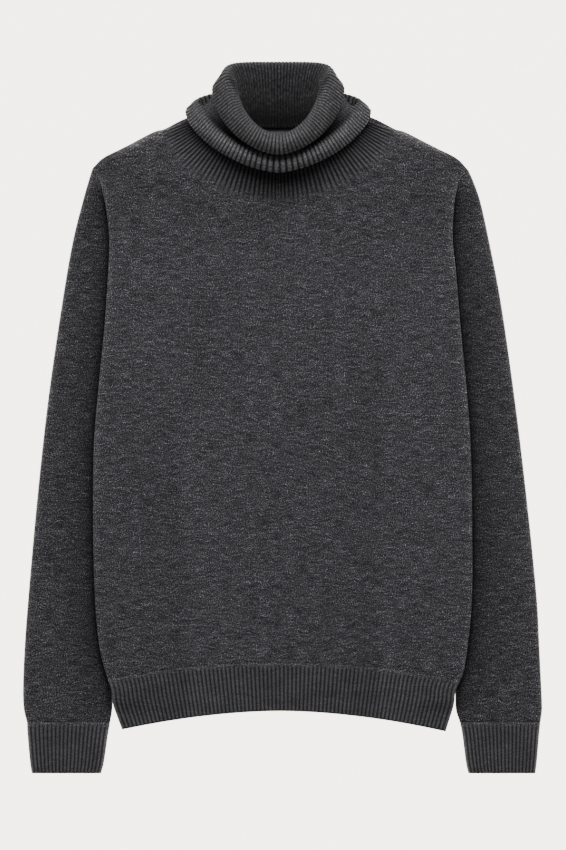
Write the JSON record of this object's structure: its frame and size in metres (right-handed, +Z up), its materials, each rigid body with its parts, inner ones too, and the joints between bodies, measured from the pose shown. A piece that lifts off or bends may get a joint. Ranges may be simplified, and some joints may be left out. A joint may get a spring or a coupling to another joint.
{
  "type": "turtleneck sweater",
  "caption": "Long-sleeved ribbed turtleneck sweater in fine wool knit, laid flat with sleeves at its sides and a twice-rolled collar.",
  "frame": {"origin": "on the surface that the garment lies on, under the middle of its outline", "axes": "+X to the right of the garment as seen from above, +Y towards the collar, +Z up from the surface"},
  "size_m": [0.544, 0.7441, 0.0386],
  "materials": {
    "knit_body": "matte melange wool in fine plain knit",
    "knit_sleeve": "matte melange wool in fine plain knit",
    "knit_rib": "matte melange wool in rib knit",
    "tape": "matte woven neck tape"
  },
  "bodies": {
    "root": {"back_panel": "knit_body", "front_panel": "knit_body", "yoke_ribs": "knit_body", "hem_back": "knit_rib", "hem_front": "knit_rib", "sleeve_left": "knit_sleeve", "sleeve_right": "knit_sleeve", "cuff_left": "knit_rib", "cuff_right": "knit_rib", "roll_collar": "knit_rib", "neck_tape": "tape"}
  },
  "joints": []
}
